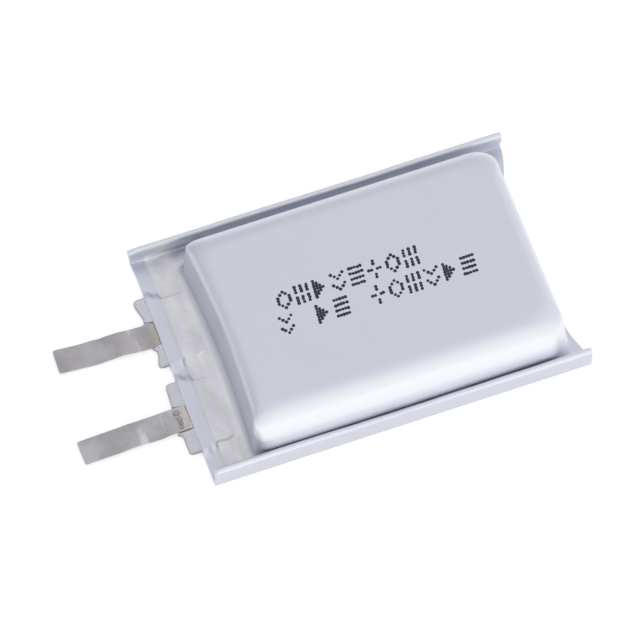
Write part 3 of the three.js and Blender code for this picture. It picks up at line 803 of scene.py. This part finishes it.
def back_points():
    points = []
    for x in back_columns:
        share = tail_share(x)
        for y, z in crosswise(x, 0, flat_rows):
            end = tail_x(y) - FOLD_BEAD
            start = seal_edge_x(y)
            points.append((slanted(start + (end - start) * share, y, z), y, z))
    for angle in bead_angles:
        depth = FOLD_BEAD * (1 - math.cos(angle))
        for y, z in crosswise(back_columns[-1], depth, flat_rows):
            points.append((tail_x(y) - FOLD_BEAD + FOLD_BEAD * math.sin(angle), y, z))
    return points


section_length = len(crosswise(0, 0, flat_rows))
back_faces = grid_faces(len(back_columns) + len(bead_angles), section_length)
shaded_back_laminate = silver_laminate("silver_laminate", False)
back_sheet = add_piece(
    "back_laminate", *thicken(back_points(), back_faces, LAMINATE), shaded_back_laminate, "laminate"
)
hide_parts("pouch_back")
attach(back_sheet, "cell")


# ---------- Front of the pouch ----------
# The other half of the same sheet, cold-drawn into a cup that fits the roll. Round it the sheet is
# sealed flat: the terrace over the tab films, narrow crevices along the sides, and the inner layer
# of both wings.
CUP_TOP = cad_box[1].z / MM
FILM_RISE = 0.27  # the terrace over a film to the terrace beside it
HEAD = {"line": -11.45, "edge": 1.0, "lean": 0.2, "foot": 0.8}
NEAR = {"line": -9.46, "edge": 1.9, "lean": 0.1, "foot": 0.16}
TAIL = {"line": 13.93, "edge": 1.15, "lean": 0.62, "foot": 0.12}
FAR = {"line": 8.0, "edge": 1.9, "lean": 0.1, "foot": 0.3}
CUP_SIDES = (NEAR, TAIL, FAR, HEAD)
TOWARD_MIDDLE = ((1, 1), (-1, 1), (-1, -1), (1, -1))  # from each corner, in the order of the sides
SIDE_STEPS = (72, 160, 72, 160)
CORNER_STEPS = 12
HEAD_CORNER = 1.0
TAIL_CORNER = 1.8
CORNER_RADII = (HEAD_CORNER, TAIL_CORNER, TAIL_CORNER, HEAD_CORNER)  # before each side in turn
TERRACE_RINGS = 30
EDGE_GROWTH = 0.45  # what the corner radii gain over the rounded top edge
FOOT_GROWTH = 0.3  # and over the fillet at the foot
BOW = 0.42  # how much further in the head wall is in the middle than BOW_SPAN to either side
BOW_SPAN = 8.0
BOW_SHIFT = 0.2
BOW_CREST = -12.2  # X, as the next: full bow here, and none at either end
BOW_ENDS = (-14.5, -7.0)
LIP_TO_SEAL = (-14.0, -13.75)  # X, as the next four: the start and the end of each soft edge
WRINKLES_FROM = (-13.9, -13.3)
BAR_DENT = ((-14.05, -13.8), (-12.4, -12.0))
RAISED_TO_WALL = (-12.75, -12.1)
WALL_FOOT = (-11.9, -11.2)
RELIEF_TO = -9.5  # X, as far as the flange's relief goes
RELIEF_UNDER = 1.5  # Z it dies away at, up the walls
RELIEF_MARGIN = 0.35  # and it fades out this near to the wings
TOP_RELIEF_DEPTH = 0.3
CORNER_EASE = {-1: 0.3, 1: 0.25}  # radius of the hollow beside the near and the far wing
EASE_STARTS = (-15.0, -13.6)  # X
EASE_SHRINKS = (-12.4, -10.5)  # X
EASE_TO = 13.0  # X
EASE_OUTSIDE = 8.2  # Y, to either side
EASE_UNDER = 1.5  # Z
EASE_LOSS = {-1: 0.2, 1: 0.55}  # share of the radius lost beside the cup
SAME_POINT = 1e-4


def ring(insets, heights, growth, squareness):
    """A closed line round the cup, counter-clockwise from the near corner of the head."""
    lines = [side["line"] for side in CUP_SIDES]
    inward = (1, -1, -1, 1)
    near, tail, far, head = (lines[i] + insets[i] * inward[i] for i in range(4))
    corners = ((head, near), (tail, near), (tail, far), (head, far))
    points = []
    for i in range(4):
        x, y = corners[i]
        radius = CORNER_RADII[i] + growth
        centre = (x + radius * TOWARD_MIDDLE[i][0], y + radius * TOWARD_MIDDLE[i][1])
        before, after = heights[i - 1], heights[i]
        for step in range(CORNER_STEPS + 1):
            share = step / CORNER_STEPS
            angle = math.pi + (i + share) * math.pi / 2
            away = np.array([math.cos(angle), math.sin(angle)])
            away = away * (1 - squareness) + away / np.abs(away).max() * squareness
            height = before + (after - before) * smooth(share, 0, 1)
            points.append((centre[0] + radius * away[0], centre[1] + radius * away[1], height))
        following = (i + 1) % 4
        axis = i % 2
        next_radius = CORNER_RADII[following] + growth
        start = np.array(points[-1])
        end = start.copy()
        end[axis] = corners[following][axis] + next_radius * TOWARD_MIDDLE[following][axis]
        for step in range(1, SIDE_STEPS[i]):
            points.append(tuple(start + (end - start) * step / SIDE_STEPS[i]))
    return np.array(points)


def edge_ring(angle):
    """A ring on the rounded top edge, from the upright wall at 0 to the flat top at 90 degrees."""
    turn = math.radians(angle)
    insets = [side["lean"] + side["edge"] * (1 - math.cos(turn)) for side in CUP_SIDES]
    heights = [CUP_TOP - side["edge"] * (1 - math.sin(turn)) for side in CUP_SIDES]
    return ring(insets, heights, EDGE_GROWTH * (1 - math.cos(turn)), 0)


def wall_ring(share):
    """A ring on the wall, from the top edge at 0 to the foot's fillet at 1."""
    insets = [side["lean"] * (1 - share) for side in CUP_SIDES]
    heights = []
    for side in CUP_SIDES:
        start = CUP_TOP - side["edge"]
        heights.append(start + (SEALED + side["foot"] - start) * share)
    return ring(insets, heights, 0, 0)


def foot_ring(angle):
    """A ring on the hollow fillet where the wall meets the sealed flange."""
    turn = math.radians(angle)
    insets = [-side["foot"] * (1 - math.cos(turn)) for side in CUP_SIDES]
    heights = [SEALED + side["foot"] * (1 - math.sin(turn)) for side in CUP_SIDES]
    return ring(insets, heights, FOOT_GROWTH * (1 - math.cos(turn)), 0)


def border_ring():
    """The flange's outer line: seal edge, both wing bends and the tail fold."""
    reach = BEND_START
    foot = ring([0, 0, 0, 0], [SEALED] * 4, FOOT_GROWTH, 1)
    low = foot.min(axis=0)
    high = foot.max(axis=0)
    border = []
    for x, y, z in foot:
        across = -reach + 2 * reach * (y - low[1]) / (high[1] - low[1])
        along = (x - low[0]) / (high[0] - low[0])
        start = seal_edge_x(across)
        border.append((start + (tail_x(across) - FOLD_BEAD - start) * along, across, z))
    return np.array(border)


def bowed(points):
    """The sheet with its head wall bowed inward. The bow dies away over the terrace and the cup."""
    out = points.copy()
    middle = (NEAR["line"] + FAR["line"]) / 2
    for point in out:
        near_head = 1 - smooth(point[0], BOW_CREST, BOW_ENDS[1])
        if point[0] < BOW_CREST:
            near_head = smooth(point[0], BOW_ENDS[0], BOW_CREST)
        point[0] += near_head * (BOW_SHIFT - BOW * ((point[1] - middle) / BOW_SPAN) ** 2)
    return out


def terrace_height(x, y):
    """How far the sealed flange rises above its flat level, over the films and in wrinkles."""
    pressed = smooth(x, *LIP_TO_SEAL)
    width = 0.14 + 0.7 * (1 - pressed) + 0.04 * wander(x, 0, 0.8, 41)
    raised = 0.0
    for pole in FILM_SPANS:
        start, end = film_span(pole, x)
        start = max(start, FILM_SPANS[pole][0][0] - 0.25)
        end = min(end, FILM_SPANS[pole][0][1] + 0.3)
        rise = smooth(y, start - width, start)
        raised = max(raised, rise * (1 - smooth(y, end, end + width)))
    raised = FILM_RISE * max(raised, smooth(x, *RAISED_TO_WALL))
    wrinkle = 0.03 * wander(x * 0.7, y, 1.5, 43) + 0.014 * wander(x, y * 1.3, 0.55, 44)
    wrinkle += 0.03 * (abs(wander(x * 0.8 + 0.3 * y, y * 0.35, 1.2, 45)) - 0.25)
    inner = smooth(x, *WRINKLES_FROM)
    bar_step = -0.03 * smooth(x, *BAR_DENT[0]) * (1 - smooth(x, *BAR_DENT[1]))
    margin = 0.03 * (1 - inner) * wander(x, y, 2.4, 46)
    off_wall = 1 - smooth(x, *WALL_FOOT)
    return raised + (wrinkle * inner + bar_step + margin) * off_wall


def top_height(x, y):
    """The flat of the cup is never quite flat: wide shallow waves and small dents."""
    return 0.012 * wander(x, y, 6.0, 51) + 0.004 * wander(x, y, 1.6, 52)


def relieved(points):
    """The sheet with its small relief: on the flange, and on the flat top of the cup."""
    out = points.copy()
    for point in out:
        x, y, z = point
        low = 1 - smooth(z, SEALED, RELIEF_UNDER)
        if low > 0 and x < RELIEF_TO and abs(y) <= BEND_START + 1e-6:
            border = smooth(BEND_START - abs(y), 0, RELIEF_MARGIN)
            point[2] += low * border * terrace_height(x, y)
        if z > CUP_TOP - TOP_RELIEF_DEPTH:
            point[2] += smooth(z, CUP_TOP - TOP_RELIEF_DEPTH, CUP_TOP) * top_height(x, y)
    return out


def corner_lift(point):
    """Eases the sharp corner between the flange and a wing into a hollow curve."""
    x, y, z = point
    side = math.copysign(1, y)
    radius = smooth(x, *EASE_STARTS) * CORNER_EASE[side]
    radius *= 1 - smooth(x, *EASE_SHRINKS) * EASE_LOSS[side]
    wall_y = HALF_WIDTH - SEALED
    across = wall_y - abs(y)
    up = z - SEALED
    if radius < 0.02 or max(across, up) > radius:
        return point
    if across >= up:
        turn = math.pi / 4 * (1 - across / radius)
        eased_y = wall_y - radius + radius * math.sin(turn)
        eased_z = SEALED + max(up, 0) + radius * (1 - math.cos(turn))
    else:
        turn = math.pi / 4 * (1 - up / radius)
        eased_y = abs(y) - radius * (1 - math.cos(turn))
        eased_z = SEALED + radius * (1 - math.sin(turn))
    return np.array([x, side * eased_y, eased_z])


def beside_wing(point):
    """Whether a point lies in the low corner between the flange and a wing, short of the tail."""
    return point[2] < EASE_UNDER and abs(point[1]) > EASE_OUTSIDE and point[0] < EASE_TO


def front_sheet():
    """All the points and faces of the sheet's outside."""
    rings = [edge_ring(angle) for angle in np.linspace(90, 0, 13)]
    rings += [wall_ring(share) for share in np.linspace(0, 1, 7)[1:]]
    rings += [foot_ring(angle) for angle in np.linspace(0, 90, 8)[1:]]
    rings = [bowed(points) for points in rings]
    outer = border_ring()
    foot = rings[-1]
    rings += [foot + (outer - foot) * share for share in np.linspace(0, 1, TERRACE_RINGS + 1)[1:]]
    count = len(outer)
    points = list(np.vstack(rings))
    faces = []
    for row in range(len(rings) - 1):
        for column in range(count):
            following = (column + 1) % count
            corner = row * count
            lower = corner + count
            faces.append((corner + column, lower + column, lower + following, corner + following))

    # The flat top, filled from the innermost ring as a patch between its four sides.
    half = CORNER_STEPS // 2
    turns = np.cumsum([0] + [CORNER_STEPS + n for n in SIDE_STEPS])
    marks = [turns[i] + half for i in range(4)]
    top = rings[0]
    top_sides = []
    for i in range(4):
        index = np.arange(marks[i], marks[i] + CORNER_STEPS + SIDE_STEPS[i] + 1) % count
        top_sides.append(top[index])
    near, tail = top_sides[0], top_sides[1]
    far, head = top_sides[2][::-1], top_sides[3][::-1]
    long_count, short_count = len(near), len(tail)
    patch = np.zeros((short_count, long_count, 3))
    for row in range(short_count):
        v = row / (short_count - 1)
        for column in range(long_count):
            u = column / (long_count - 1)
            ruled = (1 - v) * near[column] + v * far[column] + (1 - u) * head[row] + u * tail[row]
            corner_mix = (1 - u) * (1 - v) * near[0] + u * (1 - v) * near[-1]
            corner_mix = corner_mix + (1 - u) * v * far[0] + u * v * far[-1]
            patch[row, column] = ruled - corner_mix
    base = len(points)
    points += list(patch.reshape(-1, 3))
    faces += [tuple(base + i for i in face) for face in grid_faces(short_count, long_count)]

    # The inner layer of each wing, carried on from the flange's long borders.
    for i, side in ((0, -1), (2, 1)):
        index = np.arange(marks[i], marks[i] + CORNER_STEPS + SIDE_STEPS[i] + 1) % count
        base = len(points)
        rows = 0
        for x, y, _ in outer[index]:
            section = wing_section(x, side, SEALED)
            rows += 1
            points += [np.array([slanted(x, y, up), across, up]) for across, up in section]
        strip = grid_faces(rows, len(section))
        faces += [tuple(base + k for k in face) for face in strip]
    return np.array(points), faces


def welded(points, faces):
    """Joins the points that patches share along their borders."""
    keys = np.round(points / SAME_POINT).astype(np.int64)
    _, first, inverse = np.unique(keys, axis=0, return_index=True, return_inverse=True)
    inverse = inverse.reshape(-1)
    joined = []
    for face in faces:
        loop = []
        for index in (inverse[i] for i in face):
            if not loop or index != loop[-1]:
                loop.append(int(index))
        if loop[0] == loop[-1]:
            loop.pop()
        if len(loop) > 2:
            joined.append(tuple(loop))
    return points[first], joined


front_points, front_faces = welded(*front_sheet())
front_points = relieved(front_points)
front_points = np.array([corner_lift(p) if beside_wing(p) else p for p in front_points])
front_sheet_piece = add_piece(
    "front_laminate",
    *thicken(front_points, front_faces, LAMINATE),
    silver_laminate("pressed_laminate", True),
    "laminate",
)
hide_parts("pouch_front")
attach(front_sheet_piece, "cell")


# ---------- Ink marks ----------
# Two lines of quick-drying black ink dots, jetted onto the flat of the cup. They stand for a printed
# code and are plain dot patterns, five dots wide and seven high, with no letters or figures.
DOT_PITCH = 0.225
DOT_RADIUS = 0.145
DOT_HEIGHT = 0.006
DOT_SIDES = 10
DOT_JITTER = 0.012
DOT_SIZES = (0.88, 1.1)  # of DOT_RADIUS
MARK_PITCH = 1.45
MARK_SLANT = 0.1
PATTERNS = (
    ("..#..", ".#.#.", "#...#", "#...#", "#...#", ".#.#.", "..#.."),
    ("#####", ".....", "#####", ".....", "#####", ".....", "#####"),
    ("#...#", ".#.#.", "..#..", ".....", "#...#", ".#.#.", "..#.."),
    ("#.#.#", "#.#.#", "#.#.#", ".....", "#.#.#", "#.#.#", "#.#.#"),
    ("..#..", "..#..", ".....", "##.##", ".....", "..#..", "..#.."),
    ("#....", "##...", "###..", "####.", "###..", "##...", "#...."),
)
MARK_LINES = (
    {"start": (-6.62, -0.60), "end": (5.1, -0.37), "marks": (0, 3, 5, 2, 1, 4, 0, 3)},
    {"start": (-7.1, -2.64), "end": (9.5, -2.44), "marks": (2, None, 5, 1, None, 4, 0, 3, 2, 5, 1)},
)


def ink_look():
    ink = Finish("marking_ink", 0, 0.5)
    ink.colour(ink.mix(ink.noise(0.1), (0.012, 0.012, 0.018), (0.03, 0.03, 0.04)))
    ink.relief(ink.noise(0.05), 0.003)
    return ink.material


def add_dot(points, faces, x, y, radius):
    """A dome of dried ink: a rim on the sheet, a shoulder ring and a flat middle."""
    z = CUP_TOP + top_height(x, y)
    base = len(points)
    for share, lift in ((1.0, -0.002), (0.9, DOT_HEIGHT * 0.7), (0.55, DOT_HEIGHT)):
        for step in range(DOT_SIDES):
            angle = 2 * math.pi * step / DOT_SIDES
            place = (x + radius * share * math.cos(angle), y + radius * share * math.sin(angle))
            points.append((*place, z + lift))
    for level in range(2):
        for step in range(DOT_SIDES):
            start = base + level * DOT_SIDES
            following = (step + 1) % DOT_SIDES
            upper = start + DOT_SIDES
            faces.append((start + step, start + following, upper + following, upper + step))
    faces.append(tuple(base + 2 * DOT_SIDES + step for step in range(DOT_SIDES)))
    faces.append(tuple(base + step for step in reversed(range(DOT_SIDES))))


dot_points = []
dot_faces = []
jitter = random.Random(6)
for mark_line in MARK_LINES:
    start = np.array(mark_line["start"])
    along = np.array(mark_line["end"]) - start
    along /= np.linalg.norm(along)
    upward = np.array([-along[1], along[0]]) + along * MARK_SLANT
    for place, mark in enumerate(mark_line["marks"]):
        if mark is None:
            continue
        corner = start + along * MARK_PITCH * place
        cells_down = PATTERNS[mark]
        for row, cells in enumerate(cells_down):
            for column, cell in enumerate(cells):
                if cell == "#":
                    rise = upward * DOT_PITCH * (len(cells_down) - 0.5 - row)
                    spot = corner + along * DOT_PITCH * (column + 0.5) + rise
                    spot = spot + np.array([jitter.gauss(0, DOT_JITTER), jitter.gauss(0, DOT_JITTER)])
                    radius = DOT_RADIUS * jitter.uniform(*DOT_SIZES)
                    add_dot(dot_points, dot_faces, *spot, radius)
ink_marks = add_piece("ink_marks", dot_points, dot_faces, ink_look(), "marking_ink")
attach(ink_marks, "cell")
